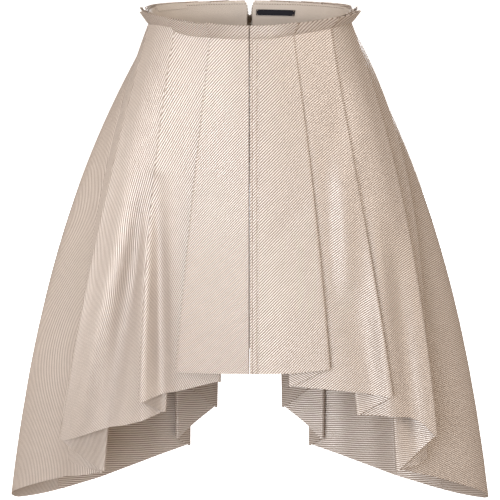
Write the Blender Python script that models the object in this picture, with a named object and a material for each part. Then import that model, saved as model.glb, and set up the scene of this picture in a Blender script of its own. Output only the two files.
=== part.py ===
"""Pleated mini skirt with a frilled waist and a handkerchief hem, filled out with no wearer.

Front is -Y, the wearer's right is -X, up is +Z. The origin is the middle of the waist.
Two front and two back pieces are each one cloth wall, folded into pleats that all turn
the same way: out from the centre front, round the side and in to the centre back.
Tables are in millimetres and degrees; meshes are in metres.
"""

from math import cos, exp, pi, radians, sin

import bmesh
import bpy
from mathutils import Matrix, Vector

MM = 0.001

# Cloth
CLOTH = 1.1
TAPE = 1.0
SEAM_GAP = 0.3
LIE_GAP = 0.35

# Waist ellipse, and how far the waist seam dips at the centre front
WAIST_HALF_WIDTH = 123.5
WAIST_FRONT_DEPTH = 90.0
WAIST_BACK_DEPTH = 92.0
FRONT_DIP = 11.0

# Levels below the waist seam where the fold tables give places
HIP_LEVEL = 150.0
LOW_LEVEL = 560.0
SPREAD_LENGTH = 520.0
GUIDE_LEVEL = 448.0

# Pleat layers at the waist, and the half width of a folded edge at waist and hem
LAYER_PITCH = 2.1
FOLD_RADIUS_WAIST = 1.05
FOLD_RADIUS_HEM = 2.6

# Frill above the waist seam
FRILL_HEIGHT = 17.0
FRILL_FLARE = 6.0
FRILL_SIDE_FLARE = 5.9
FRILL_OPENING = 0.7

# Rows of the wall: above the waist seam, near it, and evenly from there to the hem
TOP_ROWS = (-FRILL_HEIGHT, -8.0, 0.0, 12.0, 34.0, 68.0, 112.0)
LOWER_ROWS = 7
STRIP_COLUMNS = 3

# Half gap between the two back edges where the zip shows, and how it opens at the top
ZIP_HALF_GAP = 3.4
ZIP_LENGTH = 190.0
ZIP_OPEN = 2.4

# Waist facing inside the pleats, from its top to its bottom level
FRONT_FACING_INSET = 10.55
BACK_FACING_INSET = 9.4
FACING_ROWS = (-15.5, -8.0, 0.0, 11.0, 22.0)
FACING_FLARE = 3.9
FACING_SIDE_ANGLE = 107.0
FACING_SEAM_ANGLE = 0.2
FACING_BACK_ANGLE = 178.2
FRONT_FACING_COLUMNS = 40
BACK_FACING_COLUMNS = 14

# Bare label and hanger loop on the facing: angles round the waist and levels
LABEL_THICKNESS = 0.7
LABEL_ANGLES = (151.0, 175.9)
LABEL_ROWS = (-7.0, -3.5, 0.0)
LABEL_COLUMNS = 8
LOOP_ANGLES = (111.0, 139.6)
LOOP_ROWS = (-17.0, -13.5, -10.0)
LOOP_COLUMNS = 9

# Lapped band on the centre front seam
LAP_WIDTH = 10.5
LAP_THICKNESS = 0.8
LAP_ROW_SPACING = 40.0

# Zip: tapes behind the back edges, the closed chain between them, slider and pull
TAPE_EDGE = 2.0
TAPE_WIDTH = 11.0
TAPE_TOP_ROWS = (-12.0, -6.0, 0.0)
TAPE_TAIL = 4.0
ZIP_ROW_SPACING = 30.0
CHAIN_HALF_WIDTH = 1.7
CHAIN_THICKNESS = 1.6
CHAIN_TOP = 9.0

# Slider: its middle below the waist, half sizes of its outer and inner plates and of its neck
SLIDER_LEVEL = 5.0
SLIDER_HALF_LENGTH = 4.5
SLIDER_HALF_WIDTH = 3.0
INNER_PLATE_HALF_WIDTH = 2.6
INNER_PLATE_SHORTER = 1.0
SLIDER_PLATE = 1.1
NECK_HALF_WIDTH = 0.8
NECK_LENGTH = 1.5

# Lug on the slider with its hole, and the pull with the slot that leaves its bar
LUG_DOWN = 0.8
LUG_HALF_WIDTH = 0.7
LUG_SIDE = 0.8
LUG_CROWN = 0.6
LUG_HOLE = 1.7
LUG_HOLE_LIFT = 0.3
LUG_HOLE_HALF_WIDTH = 1.5
PULL_LENGTH = 22.0
PULL_HALF_WIDTH = 2.4
PULL_THICKNESS = 1.0
PULL_BAR = 1.0
SLOT_LENGTH = 3.0
SLOT_HALF_WIDTH = 1.3
SLOT_HALF_DEPTH = 2.0

# How deep two boxes run into each other where they are joined into one solid
JOIN_DEPTH = 0.1

# Fold tables. kind: edge, bend, out (outer fold) or in (tuck under the panel before).
# angle and layer place a row on the waist ellipse, from the centre front round to the back.
# hip and low are its distances out from the middle line and back from the waist's centre.
# hem is its height below the waist's centre where the cloth ends.
# columns: name, kind, angle, layer, hip_out, hip_back, low_out, low_back, hem
FRONT_OF_WEARERS_RIGHT = (
    ("centre_front", "edge", 0.0, 0.0, 0.0, -127.0, 0.0, -155.0, 403.0),
    ("panel_1", "bend", 11.0, 0.0, 32.0, -125.5, 51.0, -152.0, 403.0),
    ("fold_1", "out", 22.4, 0.0, 64.0, -119.0, 101.0, -144.0, 403.0),
    ("tuck_1", "in", 10.5, 1.0, 31.0, -119.0, 34.0, -134.0, 416.0),
    ("under_1", "bend", 24.5, 2.1, 67.0, -110.5, 105.0, -127.0, 431.0),
    ("fold_2", "out", 46.8, 0.0, 112.0, -100.0, 137.0, -132.0, 441.5),
    ("tuck_2", "in", 32.0, 2.9, 80.0, -102.0, 104.0, -111.0, 458.0),
    ("under_2", "bend", 49.0, 2.15, 113.0, -90.5, 141.0, -113.0, 470.0),
    ("panel_3", "bend", 64.0, 1.05, 140.0, -78.0, 190.0, -103.0, 483.0),
    ("fold_3", "out", 78.4, 0.0, 161.0, -60.0, 240.0, -80.0, 499.0),
    ("tuck_3", "in", 62.0, 2.25, 131.0, -72.5, 178.0, -77.0, 538.0),
    ("under_3", "bend", 80.0, 2.15, 158.0, -51.0, 204.0, -65.0, 534.0),
    ("fold_4", "out", 100.0, 0.0, 168.0, -30.0, 224.0, -50.0, 530.0),
    ("tuck_4", "in", 86.0, 2.6, 155.0, -45.0, 180.0, -47.0, 547.0),
    ("under_4", "bend", 102.0, 2.15, 164.0, -22.0, 205.0, -32.0, 553.0),
    ("side_panel", "bend", 107.0, 1.6, 175.0, -4.0, 226.0, -15.0, 559.0),
)
FRONT_OF_WEARERS_LEFT = (
    ("centre_front", "edge", 0.0, 0.0, 0.0, -127.0, 0.0, -155.0, 403.0),
    ("panel_1", "bend", 12.5, 0.0, 36.0, -124.5, 55.0, -151.0, 403.0),
    ("fold_1", "out", 24.9, 0.0, 72.0, -116.0, 108.0, -142.0, 400.0),
    ("tuck_1", "in", 13.0, 1.0, 38.0, -117.5, 48.0, -132.0, 422.0),
    ("under_1", "bend", 27.0, 2.1, 76.0, -107.5, 112.0, -125.0, 428.0),
    ("fold_2", "out", 51.8, 0.0, 124.0, -92.0, 190.0, -111.0, 438.5),
    ("tuck_2", "in", 37.0, 3.1, 92.0, -95.0, 138.0, -108.0, 462.0),
    ("under_2", "bend", 54.0, 2.15, 125.0, -82.5, 190.0, -95.0, 466.0),
    ("panel_3", "bend", 69.0, 1.05, 152.0, -66.0, 214.0, -90.0, 474.0),
    ("fold_3", "out", 84.0, 0.0, 171.0, -45.0, 234.0, -82.0, 495.0),
    ("tuck_3", "in", 68.0, 2.25, 142.0, -61.0, 178.0, -75.0, 538.0),
    ("under_3", "bend", 86.0, 2.15, 168.0, -36.0, 204.0, -62.0, 533.0),
    ("fold_4", "out", 104.0, 0.0, 183.0, -14.0, 217.0, -48.0, 529.0),
    ("tuck_4", "in", 91.0, 3.1, 164.5, -31.0, 178.0, -45.0, 543.0),
    ("under_4", "bend", 105.5, 2.3, 176.0, -8.0, 204.0, -31.0, 551.0),
    ("side_panel", "bend", 109.0, 1.6, 182.0, 4.0, 226.0, -15.0, 559.0),
)
BACK = (
    ("side_tip", "bend", 117.0, 0.6, 188.0, 26.0, 291.0, 40.0, 588.0),
    ("tip_turn", "bend", 124.0, 0.2, 178.0, 48.0, 281.0, 65.0, 603.0),
    ("back_corner", "bend", 134.0, 0.0, 141.0, 92.0, 230.0, 103.0, 599.0),
    ("fold_5", "out", 151.0, 0.0, 68.0, 125.0, 77.0, 160.0, 557.0),
    ("tuck_5", "in", 137.0, 1.0, 92.0, 111.0, 95.0, 143.0, 545.0),
    ("under_5", "bend", 153.0, 2.15, 65.0, 116.0, 73.0, 145.0, 528.0),
    ("fold_6", "out", 168.5, 0.0, 32.0, 131.0, 43.0, 152.0, 506.0),
    ("tuck_6", "in", 157.0, 2.65, 56.0, 114.5, 80.0, 130.0, 478.0),
    ("under_6", "bend", 170.0, 2.15, 30.0, 122.5, 40.0, 138.0, 452.0),
    ("centre_back", "edge", 180.0, 1.0, 0.0, 128.0, 0.0, 148.0, 430.0),
)

# Columns of cloth along each stretch between two folds, from centre front to centre back.
# The side stretch is in two parts, because the side seam lies behind the side tip.
STRETCHES_FRONT = (6, 3, 7, 3, 9, 4, 5, 4)
STRETCHES_SIDE = (9, 7)
STRETCHES_BACK = (3, 5, 3, 5)

# Main soft rolls of the cloth between its folds: troughs, or ridges where depth is below zero.
# Every layer at that distance out from the middle moves in or out together. face is -1 at the
# front and 1 at the back; out_top and out_low place the roll's middle at its two ends.
# columns: side, face, out_top, out_low, width, depth, from_level, to_level
ROLLS = (
    (-1, -1, 108.0, 104.0, 11.0, 12.0, 160.0, 500.0),
    (-1, -1, 120.0, 184.0, 13.0, 12.0, 160.0, 560.0),
    (-1, -1, 134.0, 230.0, 14.0, -8.0, 160.0, 560.0),
    (1, -1, 110.0, 114.0, 16.0, -6.0, 120.0, 310.0),
    (1, -1, 120.0, 150.0, 18.0, 4.0, 290.0, 440.0),
    (1, -1, 146.0, 176.0, 14.0, -6.0, 190.0, 520.0),
    (1, -1, 172.0, 206.0, 13.0, 7.0, 230.0, 540.0),
    (-1, 1, 164.0, 192.0, 18.0, 7.0, 150.0, 640.0),
    (1, 1, 160.0, 188.0, 18.0, 7.0, 150.0, 640.0),
    (-1, 1, 105.0, 118.0, 16.0, -4.0, 190.0, 600.0),
    (1, 1, 102.0, 120.0, 16.0, -4.0, 170.0, 600.0),
)

# A roll starts this far past the middle line and has its full depth a blend further on.
# Its depth follows a sine from end to end; a power below 1 makes the sine's ends shorter.
ROLL_PAST = 10.0
ROLL_BLEND = 40.0
ROLL_END_POWER = 0.7

FINISHES = {
    "champagne_rib": ((0.72, 0.62, 0.52), 0.42, 0.0),
    "champagne_facing": ((0.56, 0.47, 0.39), 0.5, 0.0),
    "navy_label": ((0.02, 0.03, 0.06), 0.6, 0.0),
    "zip_tape": ((0.50, 0.42, 0.34), 0.7, 0.0),
    "zip_metal": ((0.45, 0.40, 0.34), 0.35, 1.0),
}


def clear_scene():
    for item in list(bpy.data.objects):
        bpy.data.objects.remove(item, do_unlink=True)


def finish(name):
    """One Principled material for a piece, in the colour of its finish."""
    material = bpy.data.materials.get(name) or bpy.data.materials.new(name)
    colour, roughness, metallic = FINISHES[name]
    material.use_nodes = True
    shader = material.node_tree.nodes["Principled BSDF"]
    shader.inputs["Base Color"].default_value = (*colour, 1.0)
    shader.inputs["Roughness"].default_value = roughness
    shader.inputs["Metallic"].default_value = metallic
    return material


def spread(level):
    """Share of the skirt's full flare reached at a level below the waist seam."""
    return (1 - exp(-level / SPREAD_LENGTH)) / (1 - exp(-LOW_LEVEL / SPREAD_LENGTH))


HIP_SHARE = spread(HIP_LEVEL)


def waist_place(angle, layer):
    """Plan place on the waist ellipse, a number of layers in from its outer face."""
    turn = radians(angle)
    depth = WAIST_FRONT_DEPTH if angle < 90 else WAIST_BACK_DEPTH
    inset = layer * LAYER_PITCH
    return Vector(((WAIST_HALF_WIDTH - inset) * sin(turn), -(depth - inset) * cos(turn)))


def waist_height(angle):
    """Height of the waist seam, which dips at the centre front."""
    return -FRONT_DIP * ((1 + cos(radians(angle))) / 2) ** 3


def frill_share(level):
    return max(0.0, -level / FRILL_HEIGHT)


def side_flare(angle):
    """How much further the top of the waist leans out towards the sides."""
    return FRILL_SIDE_FLARE * sin(radians(angle)) ** 2


def row_place(row, level):
    """Plan place of one fold-table row at a level, on a curve through waist, hip and low."""
    _, _, angle, layer, hip_out, hip_back, low_out, low_back, _ = row
    share = spread(max(level, 0.0))
    at_waist = (share - HIP_SHARE) * (share - 1) / HIP_SHARE
    at_hip = share * (share - 1) / (HIP_SHARE * (HIP_SHARE - 1))
    at_low = share * (share - HIP_SHARE) / (1 - HIP_SHARE)
    place = waist_place(angle, layer) * at_waist
    place += Vector((hip_out, hip_back)) * at_hip
    place += Vector((low_out, low_back)) * at_low
    if level < 0:
        outwards = waist_place(angle, 0).normalized()
        flare = FRILL_FLARE - layer * FRILL_OPENING + side_flare(angle)
        place += outwards * frill_share(level) * flare
    return place


def fold_radius(level):
    share = spread(max(level, 0.0))
    radius = FOLD_RADIUS_WAIST + (FOLD_RADIUS_HEM - FOLD_RADIUS_WAIST) * share
    return radius + FRILL_OPENING * 0.5 * frill_share(level)


def smooth_run(points, count):
    """count + 1 points along a smooth curve through the given ones, spaced by plan length."""
    if len(points) == 2:
        return [points[0].lerp(points[1], step / count) for step in range(count + 1)]
    marks = [0.0]
    for before, after in zip(points, points[1:]):
        marks.append(marks[-1] + (after.xy - before.xy).length)
    slopes = []
    for index, point in enumerate(points):
        low = max(index - 1, 0)
        high = min(index + 1, len(points) - 1)
        slopes.append((points[high] - points[low]) / (marks[high] - marks[low]))
    result = []
    for step in range(count + 1):
        mark = marks[-1] * step / count
        index = 0
        while index < len(marks) - 2 and mark > marks[index + 1]:
            index += 1
        length = marks[index + 1] - marks[index]
        part = (mark - marks[index]) / length
        rest = 1 - part
        start = points[index] * ((1 + 2 * part) * rest * rest)
        end = points[index + 1] * (part * part * (3 - 2 * part))
        bend = slopes[index] * (part * rest * rest) - slopes[index + 1] * (part * part * rest)
        result.append(start + end + bend * length)
    return result


def stretches_of(rows):
    """Split the rows of a half skirt at its folds: lists of row numbers, folds at the ends."""
    stretches = [[0]]
    for index, row in enumerate(rows[1:], start=1):
        stretches[-1].append(index)
        if row[1] in ("out", "in"):
            stretches.append([index])
    return stretches


def half_section(rows, counts, level, side):
    """Plan section of half the skirt, as (out, back, hem, angle), with folds turned round."""
    radius = fold_radius(level)
    places = [row_place(row, level) for row in rows]
    stretches = stretches_of(rows)
    section = []
    start = Vector((*places[0], rows[0][8], rows[0][2]))
    for stretch, count in zip(stretches, counts):
        last = stretch[-1]
        before = places[stretch[-2]] if len(stretch) > 1 else start.xy
        if len(stretch) == 2:
            before = start.xy
        heading = (places[last] - before).normalized()
        inwards = Vector((-heading.y, heading.x))
        if inwards.dot(places[last]) > 0:
            inwards.negate()
        is_fold = rows[last][1] in ("out", "in")
        end_place = places[last] - heading * radius if is_fold else places[last]
        end = Vector((*end_place, rows[last][8], rows[last][2]))
        points = [start]
        points += [Vector((*places[i], rows[i][8], rows[i][2])) for i in stretch[1:-1]]
        points.append(end)
        section += smooth_run(points, count)
        if is_fold:
            tip = places[last] + inwards * radius
            section.append(Vector((*tip, *end[2:])))
            start = Vector((*(end_place + inwards * 2 * radius), *end[2:]))
    roll(section, side, level)
    return section


def roll(section, side, level):
    """Move the places of one section in or out where soft rolls cross them."""
    for place in section:
        push = 0.0
        for roll_side, face, out_top, out_low, width, depth, top, bottom in ROLLS:
            if roll_side == side and top < level < bottom:
                share = (level - top) / (bottom - top)
                centre = out_top + (out_low - out_top) * share
                strength = depth * sin(pi * share) ** ROLL_END_POWER
                facing = min(max((face * place.y + ROLL_PAST) / ROLL_BLEND, 0.0), 1.0)
                push -= face * strength * facing * exp(-(((place.x - centre) / width) ** 2))
        place.y += push


def half_rows(side):
    front = FRONT_OF_WEARERS_RIGHT if side < 0 else FRONT_OF_WEARERS_LEFT
    return front + BACK


def half_counts():
    return STRETCHES_FRONT + (sum(STRETCHES_SIDE),) + STRETCHES_BACK


def back_edge_gap(level):
    """Half the gap at the centre back: the zip's, wider where it is open at the top."""
    if level < 0:
        return ZIP_HALF_GAP + ZIP_OPEN * frill_share(level)
    if level < ZIP_LENGTH:
        return ZIP_HALF_GAP
    return SEAM_GAP / 2


def half_grid(side):
    """Rows of places over the middle of the cloth, from centre front to centre back."""
    rows = half_rows(side)
    counts = half_counts()
    guide = half_section(rows, counts, GUIDE_LEVEL, side)
    grid = []
    for row in range(len(TOP_ROWS) + LOWER_ROWS):
        line = []
        for column, mark in enumerate(guide):
            seam = waist_height(mark[3])
            hem_level = mark[2] + seam
            if row < len(TOP_ROWS):
                level = TOP_ROWS[row]
            else:
                share = (row - len(TOP_ROWS) + 1) / LOWER_ROWS
                level = TOP_ROWS[-1] + (hem_level - TOP_ROWS[-1]) * share
            place = half_section(rows, counts, level, side)[column]
            line.append(Vector((side * place[0], place[1], seam - level)))
        line[0].x = side * SEAM_GAP / 2
        line[-1].x = side * back_edge_gap(-line[-1].z)
        grid.append(line)
    return grid


def seam_column():
    """Column of the side seam: the last column of the side stretch's front part."""
    folded = len(STRETCHES_FRONT) * 2 + sum(STRETCHES_FRONT)
    return folded + STRETCHES_SIDE[0]


def parted(grid, column):
    """The grid's two parts at a column, drawn back from each other by the seam gap."""
    near = []
    far = []
    for line in grid:
        ahead = (line[column + 1] - line[column - 1]).normalized() * (SEAM_GAP / 2)
        near.append(line[:column] + [line[column] - ahead])
        far.append([line[column] + ahead] + line[column + 1:])
    return near, far


def sheet_object(name, grid, thickness, finish_name):
    """A closed wall of even thickness with the grid as its middle."""
    mesh = bpy.data.meshes.new(name)
    width = len(grid[0])
    points = [place * MM for line in grid for place in line]
    faces = []
    for row in range(len(grid) - 1):
        for column in range(width - 1):
            first = row * width + column
            faces.append((first, first + 1, first + width + 1, first + width))
    mesh.from_pydata(points, [], faces)
    piece = bpy.data.objects.new(name, mesh)
    bpy.context.collection.objects.link(piece)
    mesh.materials.append(finish(finish_name))
    mesh.shade_smooth()
    wall = piece.modifiers.new("Wall", "SOLIDIFY")
    wall.thickness = thickness * MM
    wall.offset = 0.0
    return piece


def make_skirt_pieces():
    for side, name in ((-1, "right"), (1, "left")):
        front, back = parted(half_grid(side), seam_column())
        sheet_object("front_" + name, front, CLOTH, "champagne_rib")
        sheet_object("back_" + name, back, CLOTH, "champagne_rib")


def waist_band(name, angles, count, levels, inset, thickness, finish_name, side=1):
    """A strip that follows the inside of the waist between two angles."""
    grid = []
    for level in levels:
        line = []
        for step in range(count + 1):
            angle = angles[0] + (angles[1] - angles[0]) * step / count
            turn = abs(angle)
            place = waist_place(turn, inset / LAYER_PITCH)
            flare = FACING_FLARE + side_flare(turn)
            place += waist_place(turn, 0).normalized() * flare * frill_share(level)
            across = place.x if angle >= 0 else -place.x
            line.append(Vector((side * across, place.y, waist_height(turn) - level)))
        grid.append(line)
    return sheet_object(name, grid, thickness, finish_name)


def make_facing():
    front = (-FACING_SIDE_ANGLE, FACING_SIDE_ANGLE)
    back = (FACING_SIDE_ANGLE + FACING_SEAM_ANGLE, FACING_BACK_ANGLE)
    waist_band("facing_front", front, FRONT_FACING_COLUMNS, FACING_ROWS, FRONT_FACING_INSET,
               CLOTH, "champagne_facing")
    for side, name in ((-1, "right"), (1, "left")):
        waist_band("facing_back_" + name, back, BACK_FACING_COLUMNS, FACING_ROWS,
                   BACK_FACING_INSET, CLOTH, "champagne_facing", side)


def make_label_and_loop():
    inset = BACK_FACING_INSET + CLOTH / 2 + LIE_GAP + LABEL_THICKNESS / 2
    waist_band("label", LABEL_ANGLES, LABEL_COLUMNS, LABEL_ROWS, inset, LABEL_THICKNESS,
               "navy_label")
    waist_band("hanger_loop", LOOP_ANGLES, LOOP_COLUMNS, LOOP_ROWS, inset, LABEL_THICKNESS,
               "champagne_facing", -1)


def depth_at(side, level, out, at_back):
    """How far back the cloth lies at a distance from the centre front or centre back."""
    section = half_section(half_rows(side), half_counts(), level, side)
    if at_back:
        line = section[-(STRETCHES_BACK[-1] + 1):][::-1]
    else:
        line = section[:STRETCHES_FRONT[0]]
    for near, far in zip(line, line[1:]):
        if near.x <= out <= far.x:
            return near.y + (far.y - near.y) * (out - near.x) / (far.x - near.x)
    return line[-1].y


def wall_levels(top, bottom, longest):
    """Levels from top to bottom in even steps no longer than a given one."""
    steps = max(1, round((bottom - top) / longest))
    return [top + (bottom - top) * step / steps for step in range(steps + 1)]


def make_front_lap():
    """The band that laps the centre front seam, proud of the left front."""
    proud = CLOTH / 2 + LIE_GAP + LAP_THICKNESS / 2
    hem_level = FRONT_OF_WEARERS_LEFT[0][8] + waist_height(0.0)
    levels = list(TOP_ROWS) + wall_levels(TOP_ROWS[-1], hem_level, LAP_ROW_SPACING)[1:]
    grid = []
    for level in levels:
        line = []
        for step in range(STRIP_COLUMNS + 1):
            out = SEAM_GAP / 2 + LAP_WIDTH * step / STRIP_COLUMNS
            back = depth_at(1, level, out, False)
            line.append(Vector((out, back - proud, waist_height(0.0) - level)))
        grid.append(line)
    sheet_object("front_lap", grid, LAP_THICKNESS, "champagne_rib")


def zip_depth(level, out=0.0):
    """Depth of the middle of the zip tapes behind the back edges."""
    back = depth_at(1, level, max(out, ZIP_HALF_GAP), True)
    return back - (CLOTH / 2 + LIE_GAP + TAPE / 2)


def make_zip_tapes():
    levels = list(TAPE_TOP_ROWS)
    levels += wall_levels(CHAIN_TOP, ZIP_LENGTH + TAPE_TAIL, ZIP_ROW_SPACING)
    for side, name in ((-1, "right"), (1, "left")):
        grid = []
        for level in levels:
            line = []
            edge = TAPE_EDGE + back_edge_gap(min(level, 0.0)) - ZIP_HALF_GAP
            for step in range(STRIP_COLUMNS + 1):
                out = edge + TAPE_WIDTH * step / STRIP_COLUMNS
                line.append(Vector((side * out, zip_depth(level, out), -level)))
            grid.append(line)
        sheet_object("zip_tape_" + name, grid, TAPE, "zip_tape")


def make_zip_chain():
    grid = []
    for level in wall_levels(CHAIN_TOP, ZIP_LENGTH, ZIP_ROW_SPACING):
        edges = (-CHAIN_HALF_WIDTH, CHAIN_HALF_WIDTH)
        grid.append([Vector((out, zip_depth(level), -level)) for out in edges])
    sheet_object("zip_chain", grid, CHAIN_THICKNESS, "zip_metal")


def add_box(mesh, low, high):
    """A box between two corners, given as (across, down the zip, outwards)."""
    corners = [Vector((x, y, z)) for x in (low[0], high[0]) for y in (low[1], high[1])
               for z in (low[2], high[2])]
    made = [mesh.verts.new(corner) for corner in corners]
    for face in ((0, 1, 3, 2), (4, 6, 7, 5), (0, 4, 5, 1), (2, 3, 7, 6), (0, 2, 6, 4), (1, 5, 7, 3)):
        mesh.faces.new([made[i] for i in face])


def box_object(name, boxes, finish_name):
    """Boxes in the slider's own frame, each one closed; the first is the body."""
    pieces = []
    for number, (low, high) in enumerate(boxes):
        data = bpy.data.meshes.new(name if number == 0 else f"{name}_tool_{number}")
        build = bmesh.new()
        add_box(build, low, high)
        bmesh.ops.recalc_face_normals(build, faces=build.faces)
        build.to_mesh(data)
        build.free()
        piece = bpy.data.objects.new(data.name, data)
        bpy.context.collection.objects.link(piece)
        pieces.append(piece)
    pieces[0].data.materials.append(finish(finish_name))
    return pieces


def combine(body, tools, operation):
    """Join or cut the body with its tools, which stay as hidden guides."""
    for tool in tools:
        change = body.modifiers.new(tool.name, "BOOLEAN")
        change.operation = operation
        change.object = tool
        change.solver = "EXACT"
        tool.hide_render = True
        tool.display_type = "WIRE"


def slider_place():
    """Origin and frame of the slider: across, down the zip and out of the back."""
    top_level = SLIDER_LEVEL - SLIDER_HALF_LENGTH
    low_level = SLIDER_LEVEL + SLIDER_HALF_LENGTH
    top = Vector((0.0, zip_depth(top_level), -top_level))
    bottom = Vector((0.0, zip_depth(low_level), -low_level))
    down = (bottom - top).normalized()
    outwards = Vector((0.0, -down.z, down.y))
    turn = Matrix(((1.0, 0.0, 0.0), (0.0, down.y, outwards.y), (0.0, down.z, outwards.z)))
    return (top + bottom) / 2 * MM, turn.to_4x4()


def lug_hole():
    """The hole in the lug: its nearer and further edge down the zip, and the same outwards."""
    face = CHAIN_THICKNESS / 2 + LIE_GAP + SLIDER_PLATE
    near = face + LUG_HOLE_LIFT
    return LUG_DOWN - LUG_HOLE / 2, LUG_DOWN + LUG_HOLE / 2, near, near + LUG_HOLE


def make_slider_body():
    """Two plates on a neck, and the lug that the pull hangs from."""
    inner = CHAIN_THICKNESS / 2 + LIE_GAP
    face = inner + SLIDER_PLATE
    top = -SLIDER_HALF_LENGTH
    bottom = SLIDER_HALF_LENGTH
    hole_top, hole_bottom, hole_in, hole_out = lug_hole()
    body = box_object("zip_slider", (
        ((-SLIDER_HALF_WIDTH, top, inner), (SLIDER_HALF_WIDTH, bottom, face)),
        ((-INNER_PLATE_HALF_WIDTH, top, -face),
         (INNER_PLATE_HALF_WIDTH, bottom - INNER_PLATE_SHORTER, -inner)),
        ((-NECK_HALF_WIDTH, top + JOIN_DEPTH, JOIN_DEPTH - face),
         (NECK_HALF_WIDTH, top + NECK_LENGTH, face - JOIN_DEPTH)),
        ((-LUG_HALF_WIDTH, hole_top - LUG_SIDE, face - JOIN_DEPTH),
         (LUG_HALF_WIDTH, hole_bottom + LUG_SIDE, hole_out + LUG_CROWN)),
    ), "zip_metal")
    cutter = box_object("zip_slider_hole", (
        ((-LUG_HOLE_HALF_WIDTH, hole_top, hole_in), (LUG_HOLE_HALF_WIDTH, hole_bottom, hole_out)),
    ), "zip_metal")
    combine(body[0], body[1:], "UNION")
    combine(body[0], cutter, "DIFFERENCE")
    return body + cutter


def make_pull():
    """A flat bar with a slot near its top, so that its upper end is the bar in the lug."""
    bar = PULL_BAR / 2
    thick = PULL_THICKNESS / 2
    pull = box_object("zip_pull", (
        ((-PULL_HALF_WIDTH, -bar, -thick), (PULL_HALF_WIDTH, PULL_LENGTH, thick)),
        ((-SLOT_HALF_WIDTH, bar, -SLOT_HALF_DEPTH),
         (SLOT_HALF_WIDTH, bar + SLOT_LENGTH, SLOT_HALF_DEPTH)),
    ), "zip_metal")
    combine(pull[0], pull[1:], "DIFFERENCE")
    return pull


def make_slider():
    """The slider on the chain, and the pull on the hinge line through the lug's hole."""
    origin, turn = slider_place()
    frame = Matrix.Translation(origin) @ turn @ Matrix.Scale(MM, 4)
    hole_in, hole_out = lug_hole()[2:]
    hinge = frame @ Matrix.Translation((0.0, LUG_DOWN, (hole_in + hole_out) / 2))
    for piece in make_slider_body():
        piece.data.transform(frame)
    for piece in make_pull():
        piece.data.transform(hinge)


def main():
    clear_scene()
    make_skirt_pieces()
    make_facing()
    make_label_and_loop()
    make_front_lap()
    make_zip_tapes()
    make_zip_chain()
    make_slider()


main()
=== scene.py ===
# %% [markdown]
# # A pleated skirt, filled out as if it were worn
#
# The skirt is heavy ribbed satin, cut as two fronts and two backs. Its pleats all turn away
# from the centre front and are held by a seam at the waist. Above the seam they stand up as a
# short frill. The hem is cut so that the sides hang in two long points.
#
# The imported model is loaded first. It is the fixed frame that every piece is built around.

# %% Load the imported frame
from math import cos, pi, radians, sin

import bmesh
import bpy
import numpy as np
from mathutils import Matrix, Vector


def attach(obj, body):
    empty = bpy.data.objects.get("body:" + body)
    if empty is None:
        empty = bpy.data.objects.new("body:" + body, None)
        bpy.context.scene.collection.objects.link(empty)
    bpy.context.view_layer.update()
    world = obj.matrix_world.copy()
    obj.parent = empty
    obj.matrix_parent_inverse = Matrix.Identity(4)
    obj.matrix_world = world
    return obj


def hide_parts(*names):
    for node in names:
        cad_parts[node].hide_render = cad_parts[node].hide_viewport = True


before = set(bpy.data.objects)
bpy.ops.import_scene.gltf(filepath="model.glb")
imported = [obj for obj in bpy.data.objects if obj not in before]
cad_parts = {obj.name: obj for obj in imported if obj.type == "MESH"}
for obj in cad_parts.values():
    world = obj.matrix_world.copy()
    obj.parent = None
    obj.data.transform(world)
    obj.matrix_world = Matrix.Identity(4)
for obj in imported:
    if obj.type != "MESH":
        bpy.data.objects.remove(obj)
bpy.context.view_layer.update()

# %% [markdown]
# ## Sizes of the cloth
#
# A pleated cloth could be simulated, but a pressed pleat keeps its place, so here its path is
# written down instead. A table names each fold and gives its place at three levels: on the
# waist ellipse, at the hip and low down. Everything between them is a smooth curve.
# Tables are in millimetres and degrees, and each mesh is made in metres.

# %% Sizes
MM = 0.001
SIDES = ((-1, "right"), (1, "left"))
CLOTH = 1.1
SEAM_GAP = 0.3
LIE_GAP = 0.35
WAIST_HALF_WIDTH = 123.5
WAIST_FRONT_DEPTH = 90.0
WAIST_BACK_DEPTH = 92.0
FRONT_DIP = 11.0
HIP_LEVEL = 150.0
LOW_LEVEL = 560.0
SPREAD_LENGTH = 520.0
GUIDE_LEVEL = 448.0
LAYER_PITCH = 2.1
FOLD_RADIUS_WAIST = 1.05
FOLD_RADIUS_HEM = 2.6
FOLD_STEPS = 6
FRILL_HEIGHT = 17.0
FRILL_FLARE = 6.0
FRILL_OPENING = 0.7
FRILL_STEP = 0.8
FRILL_STEP_HEIGHT = 3.5
FRILL_STEP_END = 168.0
FRILL_STEP_FADE = 14.0
FRILL_SIDE_FLARE = 5.9
FRILL_FOLD_FLARE = 4.8
ZIP_HALF_GAP = 3.4
ZIP_LENGTH = 190.0
ZIP_OPEN = 2.4

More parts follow.
